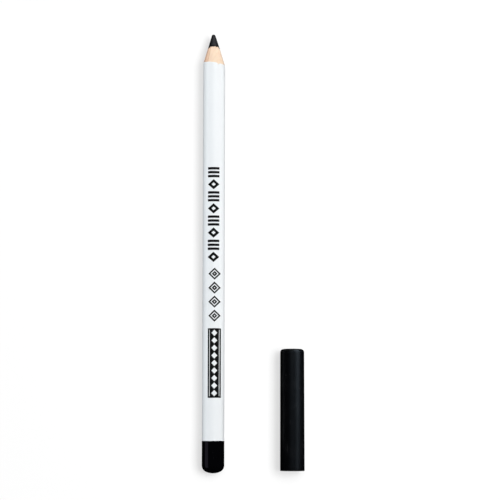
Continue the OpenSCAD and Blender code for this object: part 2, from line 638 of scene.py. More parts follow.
@dataclass(frozen=True)
class WoodFinish(Finish):
    """Freshly cut softwood, with growth lines, fibres, a glue line and smears of kohl."""

    late_colour: Colour = (0.6, 0.38, 0.22)
    glue_colour: Colour = (0.42, 0.22, 0.13)
    smear_colour: Colour = (0.008, 0.008, 0.009)
    blush_colour: Colour = (0.78, 0.46, 0.36)
    # Colour of the painted shade down the slat's flank.
    flank_shade_colour: Colour = (0.44, 0.25, 0.17)
    blush: float = 0.3
    # Turn where the painted flank shade is darkest, and its strength.
    flank_turn: float = -80.0
    flank: float = 0.5
    ring_gap: float = 0.85
    ring_turn: float = 0.5
    ring_contrast: float = 0.3
    fibre_contrast: float = 0.28
    pore_contrast: float = 0.35
    # How much darker the wood turns towards the lacquer.
    darker_by_lacquer: float = 0.955
    core_radius: float = 1.8
    seam_turn: float = 0.0
    core_border: float = 140.0

    def dress(self, paint: Paint) -> None:
        """Adds the grain, painted shade down the flank, the glue line, the blade's chatter and the smears by
        the core.

        Args:
            paint: Graph of the material.
        """
        fibres = paint.grain((16, 0.55, 16), 3, 0.15)
        pores = paint.ease(paint.grain((24, 1.3, 24), 1), 0.64, 0.78)
        body = paint.mix(self._rings(paint), self.colour, self.late_colour)
        body = paint.mix(paint.ease(fibres, 0.35, 0.7, 0.0, self.fibre_contrast), body, self.late_colour)
        body = paint.mix(paint.times(pores, self.pore_contrast), body, self.late_colour)
        blush = paint.ease(paint.grain((0.5, 0.16, 0.5), 1), 0.45, 0.7, 0.0, self.blush)
        body = paint.mix(blush, body, self.blush_colour)
        # Painted shade down the slat's flank, streaked along the grain.
        body = paint.mix(self._flank_shade(paint), body, self.flank_shade_colour)
        # Darker towards the lacquer, from 1.5 to 5 mm behind the core's border.
        darker_by_lacquer = paint.ease(self._depth(paint), 1.5, 5.0, 1.0, self.darker_by_lacquer)
        body = paint.tint(paint.times(paint.mottle(0.5, 0.2), darker_by_lacquer), body)
        body = paint.mix(self._glue(paint), body, self.glue_colour)
        paint.base(paint.mix(self._smears(paint), body, self.smear_colour))
        preset(paint.shader, Specular_IOR_Level=0.25)
        paint.rough(fibres, 0.3, 0.7, self.roughness, self.roughness + 0.15)
        chatter = paint.grain((0.8, 6.5, 0.8), 2, turn=(0.03, 0, 0.05))
        height = paint.plus(paint.times(fibres, 0.8), paint.times(chatter, 0.9))
        paint.relief(paint.blend(pores, -0.7, height), 0.018)

    def _rings(self, paint: Paint) -> Socket:
        """Mask of the growth lines, which wander sideways along the wood.

        Args:
            paint: Graph of the material.

        Returns:
            The mask.
        """
        slow = paint.stretch(paint.place, (0.25, 0.06, 0.25))
        field = paint.add("TexNoise", {"Vector": slow, "Scale": 1.0, "Detail": 1}).outputs["Color"]
        drift = paint.add("VectorMath", {0: field, "Scale": 1.6}, operation="SCALE").outputs[0]
        rings = paint.stretch(paint.place, (1, 0.035, 1), (0, self.ring_turn, 0))
        wander = paint.add("VectorMath", {0: rings, 1: drift}, operation="ADD").outputs[0]
        sockets = {"Vector": wander, "Scale": WAVE_PERIOD / self.ring_gap}
        sockets |= {"Distortion": 0.6, "Detail": 1.5, "Detail Scale": 1.2}
        bands = paint.add("TexWave", sockets, wave_profile="SAW").outputs["Fac"]
        return paint.times(paint.ease(bands, 0.45, 0.97), self.ring_contrast)

    def _depth(self, paint: Paint) -> Socket:
        """Distance from the core's border back towards the lacquer, in millimetres."""
        return paint.minus(self.core_border, paint.along())

    def _flank_shade(self, paint: Paint) -> Socket:
        """Mask of painted shade down the slat's flank, broken into streaks along the grain.

        Args:
            paint: Graph of the material.

        Returns:
            The mask.
        """
        off_line = paint.size(paint.minus(paint.turn(), math.radians(self.flank_turn)))
        lines = paint.ease(paint.grain((5, 0.1, 5), 1), 0.3, 0.6, 0.55, 1.0)
        return paint.times(paint.ease(off_line, 0.1, 0.65, self.flank, 0.0), lines)

    def _glue(self, paint: Paint) -> Socket:
        """Mask of the thin line of glue that darkens the wood along the seam.

        Args:
            paint: Graph of the material.

        Returns:
            The mask.
        """
        turned = paint.stretch(paint.place, (1, 1, 1), (0, -math.radians(self.seam_turn), 0))
        width = paint.ease(paint.grain((6, 2.2, 6)), 0.3, 0.7, 0.05, 0.16)
        line = paint.ease(paint.size(paint.axis(turned, "X")), 0.0, width, 1.0, 0.0)
        return paint.times(line, 0.85)

    def _smears(self, paint: Paint) -> Socket:
        """Mask of the kohl that the blade dragged on to the wood next to the core.

        Args:
            paint: Graph of the material.

        Returns:
            The mask.
        """
        off_side = paint.math("DIVIDE", paint.size(paint.axis(paint.place, "X")), self.core_radius)
        flank = paint.ease(off_side, 0.6, 0.95, 0.25, 0.8)
        streaks = paint.grain((2.6, 0.9, 2.6), 5, 0.5)
        reach = paint.plus(paint.ease(streaks, 0.35, 0.7, 0.0, 0.35), flank)
        depth = self._depth(paint)
        close = paint.ease(depth, paint.times(reach, 0.7), reach, 1.0, 0.0)
        crumbs = paint.times(paint.specks(2.4, 0.2, 0.12), paint.ease(depth, 0.5, 4.0, 0.7, 0.0))
        return paint.math("MAXIMUM", close, crumbs)


@dataclass(frozen=True)
class LacquerFinish(Finish):
    """Cool white satin lacquer with a faint orange peel and hairline scratches."""

    dust_colour: Colour = (0.4, 0.39, 0.38)

    def dress(self, paint: Paint) -> None:
        """Adds the peel, faint patches, dust and scratches.

        Args:
            paint: Graph of the material.
        """
        body = paint.tint(paint.mottle(0.18, 0.035), self.colour)
        hairs = paint.hairs(0.5, 0.55)
        paint.base(paint.mix(paint.times(paint.specks(0.9, 0.06, 0.1), 0.5), body, self.dust_colour))
        paint.rough(hairs, 0.0, 1.0, self.roughness, self.roughness + 0.2)
        preset(paint.shader, Coat_Weight=0.15, Coat_Roughness=0.12, Specular_IOR_Level=0.35)
        paint.relief(paint.blend(hairs, -0.15, paint.peel(0.8, 0.04)), 0.006)


@dataclass(frozen=True)
class DipFinish(Finish):
    """Deep black dipped lacquer with a wet gloss."""

    dust_colour: Colour = (0.3, 0.3, 0.31)

    def dress(self, paint: Paint) -> None:
        """Adds a slow swell, hairline scratches and dust.

        Args:
            paint: Graph of the material.
        """
        body = paint.tint(paint.mottle(0.4, 0.5), self.colour)
        dust = paint.specks(1.1, 0.05, 0.2)
        paint.base(paint.mix(paint.times(dust, 0.3), body, self.dust_colour))
        marked = paint.math("MAXIMUM", paint.hairs(0.6, 0.5), dust)
        paint.rough(marked, 0.0, 1.0, self.roughness, self.roughness + 0.3)
        preset(paint.shader, Coat_Weight=1.0, Coat_Roughness=0.03)
        paint.relief(paint.blend(dust, 0.6, paint.peel(0.45, 0.01)), 0.012)


@dataclass(frozen=True)
class InkFinish(Finish):
    """Thin screen-printed black ink, slightly uneven, with a few pinholes."""

    hole_colour: Colour = (0.4, 0.41, 0.42)

    def dress(self, paint: Paint) -> None:
        """Adds uneven cover, pinholes and the screen's fine tooth.

        Args:
            paint: Graph of the material.
        """
        body = paint.tint(paint.mottle(0.9, 0.7), self.colour)
        holes = paint.specks(2.2, 0.09, 0.1)
        paint.base(paint.mix(paint.times(holes, 0.5), body, self.hole_colour))
        weave = paint.noise(paint.place, 14.0, 2)
        paint.rough(weave, 0.3, 0.7, self.roughness - 0.06, self.roughness + 0.1)
        paint.relief(paint.blend(holes, -1.2, weave), 0.008)


@dataclass(frozen=True)
class CapFinish(Finish):
    """Satin black moulded plastic with the mould's fine sparked texture and handling scuffs."""

    bore: float = 3.78
    depth: float = 40.0
    scuff_colour: Colour = (0.09, 0.09, 0.095)
    powder_colour: Colour = (0.022, 0.02, 0.02)
    dust_colour: Colour = (0.3, 0.3, 0.31)

    def dress(self, paint: Paint) -> None:
        """Adds the texture, scuffs, dust, and the powder that the pencil leaves inside.

        Args:
            paint: Graph of the material.
        """
        body = paint.tint(paint.mottle(0.3, 0.3), self.colour)
        hairs = paint.hairs(0.45, 0.48)
        dust = paint.specks(0.9, 0.07, 0.16)
        body = paint.mix(paint.times(hairs, 0.25), body, self.scuff_colour)
        body = paint.mix(self._powder(paint), body, self.powder_colour)
        paint.base(paint.mix(paint.times(dust, 0.4), body, self.dust_colour))
        preset(paint.shader, Specular_IOR_Level=0.1)
        tooth = paint.noise(paint.place, 9.0, 3)
        paint.rough(tooth, 0.3, 0.7, self.roughness - 0.05, self.roughness + 0.07)
        paint.relief(paint.blend(hairs, -0.8, paint.blend(dust, 1.2, tooth)), 0.007)

    def _powder(self, paint: Paint) -> Socket:
        """Mask of the fine powder of wood and kohl that clings to the bore in streaks.

        Args:
            paint: Graph of the material.

        Returns:
            The mask.
        """
        off_axis = paint.length(paint.stretch(paint.place, (1, 0, 1)))
        inside = paint.ease(off_axis, self.bore, self.bore + 0.08, 1.0, 0.0)
        ahead = paint.ease(paint.along(), self.depth - 0.2, self.depth + 0.2, 1.0, 0.0)
        streaks = paint.ease(paint.grain((1.6, 0.25, 1.6), 4), 0.3, 0.7, 0.35, 1.0)
        return paint.times(paint.times(inside, ahead), streaks)


# The pencil


@dataclass(frozen=True)
class Blade:
    """The sharpener's cut, shared by the core, the wood and the lacquer."""

    apex: float
    half_angle: float = 16.85
    offset: float = 0.17
    tip_radius: float = 0.69

    @classmethod
    def of(cls, length: float) -> "Blade":
        """Blade whose rounded tip ends at the given length along the pencil."""
        made = cls(0.0)
        return cls(length - made.tip_radius + made.tip_radius / math.sin(math.radians(made.half_angle)))

    @property
    def slope(self) -> float:
        """Radius that the cone gains per millimetre from its apex."""
        return math.tan(math.radians(self.half_angle))

    @property
    def tip_centre(self) -> float:
        """Distance along the pencil to the middle of the tip's ball."""
        return self.apex - self.tip_radius / math.sin(math.radians(self.half_angle))

    def height(self, radius: float) -> float:
        """Distance along the pencil at which the cone has this radius."""
        return self.apex - radius / self.slope

    def on_cone(self, point: Vector) -> bool:
        """Whether a point of a spun mesh lies on the cone."""
        radius = math.hypot(point.x, point.z)
        return radius > self.tip_radius and abs(point.y - self.height(radius)) < ON_CONE_MM

    def shift(self, bm: bmesh.types.BMesh, grip_radius: float, ridge: Callable[[Vector], float]) -> None:
        """Moves a spun cone off centre and cuts the blade's ridges into it.

        Args:
            bm: The mesh, spun round the pencil's axis.
            grip_radius: Radius from which the points keep their distance from the axis.
            ridge: Height of the ridges at a point, in millimetres.
        """
        for vert in bm.verts:
            point = vert.co
            radius = math.hypot(point.x, point.z)
            tip = point.y > self.tip_centre
            if not tip and not self.on_cone(point):
                continue
            share = 1.0 if tip else max(0.0, 1 - radius / grip_radius)
            point.x -= self.offset * share
            if not tip:
                from_axis = math.hypot(point.x + self.offset, point.z)
                point.y = self.height(from_axis) + ridge(point) / self.slope


@dataclass
class KohlCore:
    """The soft black core: a rod with a sharpened, slightly worn tip."""

    rod: Rod
    core: Rod
    blade: Blade
    effects: Effects
    segments: int = 128
    cone_rings: int = 64
    tip_steps: int = 10
    wear: float = 0.022
    lean: float = 0.09
    tip_reach: float = 0.4
    tip_wear: float = 0.05
    tip_slant: float = 0.04

    def outline(self) -> list[Point]:
        """Half outline of the core.

        Returns:
            Its points from the axis at the back to the axis at the tip.
        """
        blade = self.blade
        radius = self.core.radius_mm
        back = (self.core.back - self.rod.back) / MM
        border = blade.height(radius)
        touch = blade.tip_radius * math.cos(math.radians(blade.half_angle))
        cone = run((radius, border), (touch, blade.height(touch)), self.cone_rings)
        ball = arc((0, blade.tip_centre), blade.tip_radius, blade.half_angle, 90, self.tip_steps)
        return [(0, back), *run((radius, back + 0.3), (radius, border), 8), *cone, *ball]

    def marks(self, point: Vector) -> float:
        """Height of the turning marks and the flats that the blade leaves.

        Args:
            point: A point of the cone.

        Returns:
            The height in millimetres.
        """
        turn = turn_of(point)
        flats = noise.noise(Vector((turn / 38, point.y * 0.7, 4.0)))
        rings = noise.noise(Vector((turn / 90, point.y * 7.0, 9.0)))
        return self.wear * flats + 0.35 * self.wear * rings

    def build(self) -> bpy.types.Object:
        """Makes the core.

        Returns:
            The piece.
        """
        blade = self.blade
        bm = spun(self.outline(), self.segments)
        blade.shift(bm, self.core.radius_mm, self.marks)
        border = blade.height(self.core.radius_mm)
        for vert in bm.verts:
            vert.co.x -= self.lean * max(0.0, vert.co.y - border) / (blade.tip_centre - border)
            if vert.co.y > blade.tip_centre - self.tip_reach:
                worn = self.tip_wear * abs(noise.noise(vert.co * 2.2))
                vert.co.y -= worn + self.tip_slant * max(0.0, vert.co.x + blade.offset)
        finish = KohlFinish("kohl", (0.014, 0.014, 0.017), 0.45, self.rod, self.effects, border=border)
        return piece(bm, "core", self.rod, Slot.KOHL, finish.build(), "kohl_core", crease=60)


@dataclass(frozen=True)
class Dome:
    """The barrel's blunt end: a flat crown that turns into the side over a rounded shoulder."""

    side: float
    crown: float = 6.0
    shoulder: float = 2.4

    @property
    def height(self) -> float:
        """Distance along the pencil at which the dome meets the side."""
        reach = self.side - self.shoulder
        return self.crown - math.sqrt((self.crown - self.shoulder) ** 2 - reach**2)

    def outline(self, inset: float) -> list[Point]:
        """Half outline of the dome.

        Args:
            inset: How far inside the dome's surface the outline lies.

        Returns:
            Its points from the axis to the side.
        """
        reach = self.side - self.shoulder
        sweep = math.degrees(math.asin(reach / (self.crown - self.shoulder)))
        crown = arc((0, self.crown), self.crown - inset, -90, sweep - 90, 18)
        shoulder = arc((reach, self.height), self.shoulder - inset, sweep - 90, 0, 12)
        return [*crown, *shoulder[1:]]


@dataclass
class WoodCasing:
    """Two slats of softwood glued round the core, and sharpened with it."""

    rod: Rod
    wood: Rod
    core: Rod
    dome: Dome
    blade: Blade
    effects: Effects
    seam_turn: float = -35.0
    segments: int = 96
    cone_rings: int = 84

    def outline(self) -> list[Point]:
        """Closed outline of the wall of wood.

        Returns:
            Its points from the core outwards.
        """
        inner = self.core.radius_mm
        outer = self.wood.radius_mm
        dome = self.dome.outline(self.dome.side - outer)
        back = [point for point in dome if point[0] > inner]
        start = dome[0][1] + (inner**2) / (2 * self.dome.crown)
        rim = (outer, self.blade.height(outer))
        border = (inner, self.blade.height(inner))
        side = run((outer, back[-1][1]), rim, 6)
        cone = run(rim, border, self.cone_rings)
        return [(inner, start), *back[:-1], *side, *cone, *run(border, (inner, start), 6)]

    def ridges(self, point: Vector) -> float:
        """Height of the fine steps that the blade's chatter leaves in the wood.

        Args:
            point: A point of the cone.

        Returns:
            The height in millimetres.
        """
        turn = turn_of(point)
        helix = math.sin(math.tau * (point.y / 0.34 + turn / 360))
        broad = noise.noise(Vector((turn / 30, point.y * 0.8, 2.0)))
        fine = noise.noise(Vector((turn / 12, point.y * 5.0, 6.0)))
        return 0.004 * helix + 0.012 * broad + 0.008 * fine

    def slat(self, side: Side) -> bpy.types.Object:
        """Makes the slat on one side of the seam.

        Args:
            side: Side of the seam that it lies on.

        Returns:
            The piece.
        """
        # The left slat is darker and pinker than the right: partly its own tone and partly painted shade on
        # the pencil's left side. Its painted flank shade is stronger too.
        start, colour, late_colour, blush, flank_turn, flank, ring_turn = {
            Side.LEFT: (180, (0.83, 0.585, 0.42), (0.66, 0.42, 0.27), 0.5, -81.0, 0.9, -0.4),
            Side.RIGHT: (0, (0.855, 0.68, 0.52), (0.8, 0.56, 0.37), 0.2, 84.0, 0.3, 0.9),
        }[side]
        bm = spun(self.outline(), self.segments, self.seam_turn + start, 180)
        self.blade.shift(bm, self.core.radius_mm, self.ridges)
        finish = WoodFinish(
            f"wood_{side.value}",
            colour,
            0.55,
            self.rod,
            self.effects,
            late_colour=late_colour,
            blush=blush,
            flank_turn=flank_turn,
            flank=flank,
            ring_turn=ring_turn,
            seam_turn=self.seam_turn,
            core_border=self.blade.height(self.core.radius_mm),
            core_radius=self.core.radius_mm,
        )
        name = f"slat_{side.value}"
        return piece(bm, f"wood_{name}", self.rod, Slot.WOOD, finish.build(), name)

    def build(self) -> list[bpy.types.Object]:
        """Makes both slats, the left one first."""
        return [self.slat(side) for side in Side]


@dataclass
class LacquerCoat:
    """The white coat on the barrel, torn a little where the blade cut through it.

    Chips and nicks are a turn in degrees, a width in degrees and a depth in millimetres.
    """

    rod: Rod
    coat: Rod
    wood: Rod
    dome: Dome
    blade: Blade
    effects: Effects
    segments: int = 192
    lip: float = 0.12
    fade: float = 2.2
    chips: tuple[Triple, ...] = ((22, 3.2, 0.42), (30, 4, 0.21))
    nicks: tuple[Triple, ...] = ((-48, 3, 0.22), (118, 5, 0.3), (-140, 4, 0.2))

    def outline(self) -> list[Point]:
        """Closed outline of the thin coat.

        Returns:
            Its points from the back outside to the back inside.
        """
        outer = self.coat.radius_mm
        inner = self.wood.radius_mm
        back = self.dome.height
        front = self.blade.height(outer)
        lip = front - self.lip
        split = lip - 2
        side = [*run((outer, back), (outer, split), 8), *run((outer, split), (outer, lip), 6), (outer, lip)]
        rim = [(outer + 0.006, front - 0.07), (outer + 0.004, front - 0.03), (outer, front)]
        return [*side, *rim, (inner, self.blade.height(inner)), (inner, back)]

    def tear(self, point: Vector) -> float:
        """How far the blade tore the coat back at its rim.

        Args:
            point: A point near the rim.

        Returns:
            The depth of the tear in millimetres.
        """
        turn = turn_of(point)
        around = Vector((math.sin(math.radians(turn)), math.cos(math.radians(turn)), 0))
        ragged = 0.1 + 0.07 * abs(noise.noise(around * 7)) + 0.05 * abs(noise.noise(around * 23))
        broken = 1 + 1.2 * noise.noise(around * 31)
        chips = sum(depth * broken * bump_at(turn, middle, width) for middle, width, depth in self.chips)
        nicks = sum(depth * bump_at(turn, middle, width) for middle, width, depth in self.nicks)
        return ragged + (chips + nicks)

    def build(self) -> bpy.types.Object:
        """Makes the coat.

        Returns:
            The piece.
        """
        bm = spun(self.outline(), self.segments)
        front = self.blade.height(self.coat.radius_mm)
        for vert in bm.verts:
            if vert.co.y > front - self.fade:
                radius = math.hypot(vert.co.x, vert.co.z)
                from_blade = math.hypot(vert.co.x + self.blade.offset, vert.co.z)
                share = min(1.0, max(0.0, (vert.co.y - front + self.fade) / self.fade)) ** 4
                vert.co.y -= share * ((from_blade - radius) / self.blade.slope + self.tear(vert.co))
        finish = LacquerFinish("white_lacquer", (0.8, 0.828, 0.845), 0.32, self.rod, self.effects)
        return piece(bm, "lacquer", self.rod, Slot.LACQUER, finish.build(), "lacquer_coat")


@dataclass
class EndDip:
    """The glossy black dip on the blunt end, with a bead along its edge and nibs of dust under it.

    A nib is a turn in degrees, a distance along the pencil and a radius.
    """

    rod: Rod
    dip: Rod
    coat: Rod
    dome: Dome
    effects: Effects
    segments: int = 160
    bead: float = 0.018
    sag: float = 0.12
    sag_reach: float = 0.6
    nibs: tuple[Triple, ...] = (
        (-37, 9.6, 0.09),
        (-29, 6.9, 0.07),
        (2, 4.7, 0.08),
        (14, 2.3, 0.08),
        (74, 6.2, 0.06),
        (150, 7.4, 0.08),
        (-112, 3.9, 0.07),
    )

    def outline(self) -> list[Point]:
        """Closed outline of the shell of lacquer.

        Returns:
            Its points from the axis outside to the axis inside.
        """
        side = self.dip.radius_mm
        edge = self.dip.length_mm
        under = self.coat.radius_mm
        heights = [edge - 0.42 + i * 0.06 for i in range(6)]
        swell = [(side + self.bead * bump_at(at, edge - 0.25, 0.16), at) for at in heights]
        rim = arc((under, edge - 0.06), side - under + 0.012, 0, 90, 5)[1:]
        inner = self.dome.outline(side - under + 0.1)
        walls = [*self.dome.outline(0)[:-1], *run((side, self.dome.height), (side, edge - 0.5), 10)]
        return [*walls, *swell, *rim, (under, self.dome.height), *reversed(inner)]

    def build(self) -> bpy.types.Object:
        """Makes the dip.

        Returns:
            The piece.
        """
        bm = spun(self.outline(), self.segments)
        edge = self.dip.length_mm
        for vert in bm.verts:
            share = max(0.0, (vert.co.y - edge + self.sag_reach) / self.sag_reach)
            around = Vector((vert.co.x, 0, vert.co.z)) * 0.35
            vert.co.y -= self.sag * share * abs(noise.noise(around))
        for turn, along, radius in self.nibs:
            angle = math.radians(turn)
            at = Vector((math.sin(angle), 0, math.cos(angle))) * (self.dip.radius_mm - radius * 0.55)
            at.y = along
            bmesh.ops.create_icosphere(bm, subdivisions=2, radius=radius, matrix=Matrix.Translation(at))
        finish = DipFinish("black_dip", (0.0012, 0.0012, 0.0018), 0.06, self.rod, self.effects)
        return piece(bm, "dip", self.rod, Slot.DIP, finish.build(), "end_dip")


@dataclass
class PrintedBorder:
    """The three fields of black ink printed along the barrel's top.

    Each field is drawn flat between its lowest and highest corner, and then bent on to the barrel.
    """

    rod: Rod
    coat: Rod
    effects: Effects
    ink_depth: float = 0.04
    sunk: float = 0.01
    corner: float = 0.05
    facet: int = 2
    panel_count: int = 9
    panel_lozenge: float = 2.0
    panel_gap: float = 0.35
    panel_line: float = 0.19
    panel_margin: float = 0.46
    outline_count: int = 4
    outline_size: Point = (4.2, 4.1)
    outline_line: float = 0.48
    outline_band: float = 0.8
    mark_count: int = 8
    mark_size: Point = (3.9, 3.5)
    mark_stroke: float = 0.82
    mark_gap: float = 0.65

    def shape(
        self, bm: bmesh.types.BMesh, at: Point, size: Point, form: Form = Form.LOZENGE, line: float = 0
    ) -> None:
        """Draws a lozenge or a rectangle, filled or as a line.

        Args:
            bm: Mesh to draw in.
            at: Middle of the shape.
            size: Its width and length.
            form: Which of the two it is.
            line: Width of its line, or 0 to fill it.
        """
        radius = math.sqrt(2) / 2 if form is Form.RECTANGLE else 0.5
        verts = bmesh.ops.create_circle(bm, cap_ends=True, radius=radius, segments=4)["verts"]
        bmesh.ops.rotate(bm, verts=verts, matrix=Matrix.Rotation(math.radians(form.value), 3, UP))
        bmesh.ops.scale(bm, verts=verts, vec=(*size, 1))
        bmesh.ops.translate(bm, verts=verts, vec=(*at, 0))
        rounded = bmesh.ops.bevel(
            bm, geom=verts, offset=self.corner, segments=3, profile=0.5, affect="VERTICES", material=-1
        )
        if line:
            face = next(f for v in rounded["verts"] for f in v.link_faces)
            bmesh.ops.inset_region(bm, faces=[face], thickness=line, use_boundary=True, use_even_offset=True)
            bmesh.ops.delete(bm, geom=[face], context="FACES")

    def panel(self, low: Vector, high: Vector) -> bmesh.types.BMesh:
        """Draws the black panel, with a row of lozenges and two fine lines left open.

        Args:
            low: Lowest corner of the panel on the pencil, in millimetres.
            high: Highest corner.

        Returns:
            The flat drawing.
        """
        bm = bmesh.new()
        width = high.x - low.x
        length = high.y - low.y
        middle = (low + high) / 2
        row = length - 2 * self.panel_margin
        pitch = (row + self.panel_gap) / self.panel_count
        line_x = (width - self.panel_line) / 2 - self.panel_margin
        self.shape(bm, middle.xy, (width, length), Form.RECTANGLE)
        for i in range(self.panel_count):
            at = middle.y + (i - (self.panel_count - 1) / 2) * pitch
            self.shape(bm, (middle.x, at), (self.panel_lozenge, pitch - self.panel_gap))
        for side in (-1, 1):
            self.shape(bm, (middle.x + side * line_x, middle.y), (self.panel_line, row), Form.RECTANGLE)
        edges = list(bm.edges)
        bmesh.ops.delete(bm, geom=list(bm.faces), context="FACES_ONLY")
        bmesh.ops.triangle_fill(bm, use_beauty=True, edges=edges, normal=UP)
        return bm

    def places(self, low: Vector, high: Vector, length: float, count: int) -> list[Point]:
        """Middles of the shapes in a row.

        Args:
            low: Lowest corner of the row on the pencil, in millimetres.
            high: Highest corner.
            length: Length of each shape.
            count: Number of shapes.

        Returns:
            The middles in order.
        """
        first = low.y + length / 2
        return [((low.x + high.x) / 2, first + i * (length + self.mark_gap)) for i in range(count)]

    def outlines(self, low: Vector, high: Vector) -> bmesh.types.BMesh:
        """Draws the row of double-lined lozenges.

        Args:
            low: Lowest corner of the row on the pencil, in millimetres.
            high: Highest corner.

        Returns:
            The flat drawing.
        """
        bm = bmesh.new()
        half = Vector(self.outline_size) / 2
        inner = half * (1 - self.outline_band * half.length / (half.x * half.y))
        for at in self.places(low, high, self.outline_size[1], self.outline_count):
            for size in (self.outline_size, tuple(inner * 2)):
                self.shape(bm, at, size, line=self.outline_line)
        return bm

    def marks(self, low: Vector, high: Vector) -> bmesh.types.BMesh:
        """Draws the row of bold lozenges and groups of three bars.

        Args:
            low: Lowest corner of the row on the pencil, in millimetres.
            high: Highest corner.

        Returns:
            The flat drawing.
        """
        bm = bmesh.new()
        width, length = self.mark_size
        step = (length - self.mark_stroke) / 2
        for i, (x, y) in enumerate(self.places(low, high, length, self.mark_count)):
            if list(Motif)[i % 2] is Motif.RING:
                self.shape(bm, (x, y), self.mark_size, line=self.mark_stroke)
                continue
            for bar in (-1, 0, 1):
                self.shape(bm, (x, y + bar * step), (width, self.mark_stroke), Form.RECTANGLE)
        return bm

    def bend(self, bm: bmesh.types.BMesh) -> bmesh.types.BMesh:
        """Lays a flat drawing on the barrel and gives it the ink's depth.

        Args:
            bm: The drawing, seen from above.

        Returns:
            The film of ink as a closed solid.
        """
        radius = self.coat.radius_mm
        reach = max(abs(vert.co.x) for vert in bm.verts)
        count = math.ceil(math.degrees(math.asin(reach / radius)))
        for degree in range(-count, count + 1, self.facet):
            cut = (radius * math.sin(math.radians(degree)), 0, 0)
            everything = [*bm.verts, *bm.edges, *bm.faces]
            bmesh.ops.bisect_plane(bm, geom=everything, dist=SLIVER_MM, plane_co=cut, plane_no=(1, 0, 0))
        bmesh.ops.recalc_face_normals(bm, faces=bm.faces)
        if sum(face.normal.z for face in bm.faces) < 0:
            bmesh.ops.reverse_faces(bm, faces=bm.faces)
        top = bmesh.ops.extrude_face_region(bm, geom=list(bm.faces))
        raised = {element for element in top["geom"] if isinstance(element, bmesh.types.BMVert)}
        for vert in bm.verts:
            shell = radius + (self.ink_depth if vert in raised else -self.sunk)
            vert.co.z = math.sqrt(shell**2 - vert.co.x**2)
        return closed(bm)

    def build(self) -> list[bpy.types.Object]:
        """Makes the three fields.

        Returns:
            The panel, the outlined row and the row of solid marks.
        """
        finish = InkFinish("black_ink", (0.004, 0.004, 0.0045), 0.36, self.rod, self.effects).build()
        drawings = {"print_panel": self.panel, "print_outlines": self.outlines, "print_marks": self.marks}
        to_own = self.rod.place.inverted()
        made = []
        for node, draw in drawings.items():
            film = self.bend(draw(*(to_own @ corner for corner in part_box(node))))
            made.append(piece(film, node.replace("print", "ink"), self.rod, Slot.INK, finish, node))
        return made


@dataclass
class PullOffCap:
    """The moulded cap, with a bore for the barrel and a narrower chamber for the sharpened end.

    The mark of the mould's gate, sunk in the closed end, is given by points of its outline: radius
    and depth below the end. Its rim's radii are counted from the gate's own.
    """

    cap: Rod
    bore: float
    grip: float
    effects: Effects
    segments: int = 160
    draft: float = 0.07
    corner: float = 1.1
    end_wall: float = 1.0
    well_corner: float = 0.5
    stop: float = 0.35
    chamfer: float = 0.12
    lip: float = 0.15
    gate: float = 0.9
    gate_rim: tuple[Point, ...] = ((0.25, 0), (0.1, 0.015), (0, 0.09))
    gate_nub: tuple[Point, ...] = ((0.42, 0.1), (0.36, 0.04), (0.3, 0.03), (0, 0.035))

    def outline(self) -> list[Point]:
        """Closed outline of the cap's wall.

        Returns:
            Its points from the mouth outside to the mouth inside.
        """
        mouth = self.cap.radius_mm
        length = self.cap.length_mm
        slim = mouth - self.draft
        chamber = self.bore - self.stop
        stop = self.grip + self.chamfer
        turned = length - self.corner
        well = (chamber - self.well_corner, length - self.end_wall - self.well_corner)
        return [
            *arc((mouth - self.lip, self.lip), self.lip, -90, 0, 4),
            *run((mouth, 1.0), (slim, turned), 14),
            *arc((slim - self.corner, turned), self.corner, 0, 90, 12),
            *((self.gate + radius, length - depth) for radius, depth in self.gate_rim),
            *((radius, length - depth) for radius, depth in self.gate_nub),
            (0, length - self.end_wall),
            *reversed(arc(well, self.well_corner, 0, 90, 6)),
            *((chamber, stop + 0.05), (chamber + 0.03, stop), (self.bore, stop)),
            *run((self.bore, stop - 0.3), (self.bore, self.chamfer), 8),
            (self.bore, self.chamfer),
            (self.bore + self.chamfer * 0.8, 0.015),
            (self.bore + self.chamfer, 0),
        ]

    def build(self) -> bpy.types.Object:
        """Makes the cap.

        Returns:
            The piece.
        """
        bm = spun(self.outline(), self.segments)
        finish = CapFinish(
            "black_cap",
            (0.0009, 0.001, 0.0013),
            0.38,
            self.cap,
            self.effects,
            bore=self.bore,
            depth=self.cap.length_mm - self.end_wall / 2,
        )
        return piece(bm, CAP_PIECE, self.cap, Slot.CAP, finish.build(), "cap")


# The studio


class Lit(Enum):
    """What a light of the studio reaches."""

    FLOOR = "floor"
    THINGS = "things"
    GLOSS = "gloss"


@dataclass(frozen=True)
class Lamp:
    """A rectangular light that faces a point of the scene, and the pieces it is kept to, if any."""

    name: str
    at: Triple
    size: Point
    power: float
    lit: Lit
    aim: Triple = (0, 0, 0)
    colour: Colour = (1, 1, 1)
    only: tuple[str, ...] = ()

    def hang(self, floor: bpy.types.Object) -> bpy.types.Object:
        """Hangs the light.

        Args:
            floor: The floor, which only a light for the floor reaches.

        Returns:
            The light.
        """
        light = bpy.data.lights.new(self.name, "AREA")
        light.shape = "RECTANGLE"
        light.size, light.size_y = self.size
        light.energy = self.power
        light.color = self.colour
        lamp = placed(self.name, light)
        lamp.location = self.at
        facing = Vector(self.at) - Vector(self.aim)
        lamp.rotation_euler = facing.to_track_quat("Z", "Y").to_euler()
        lamp.visible_camera = False
        lamp.visible_diffuse = self.lit is not Lit.GLOSS
        lamp.visible_glossy = self.lit is Lit.GLOSS
        reach = [bpy.data.objects[name] for name in self.only] or [floor]
        linked = bpy.data.collections.new(f"{self.name}_reach")
        for number, thing in enumerate(reach):
            linked.objects.link(thing)
            state = "INCLUDE" if self.only or self.lit is Lit.FLOOR else "EXCLUDE"
            linked.collection_objects[number].light_linking.link_state = state
        lamp.light_linking.receiver_collection = linked
        return lamp


CAP_CARD = {"lit": Lit.GLOSS, "colour": COOL, "only": (CAP_PIECE,)}
BARREL_CARD = {"lit": Lit.GLOSS, "colour": (0.82, 0.74, 1.0), "only": ("dip", "lacquer")}


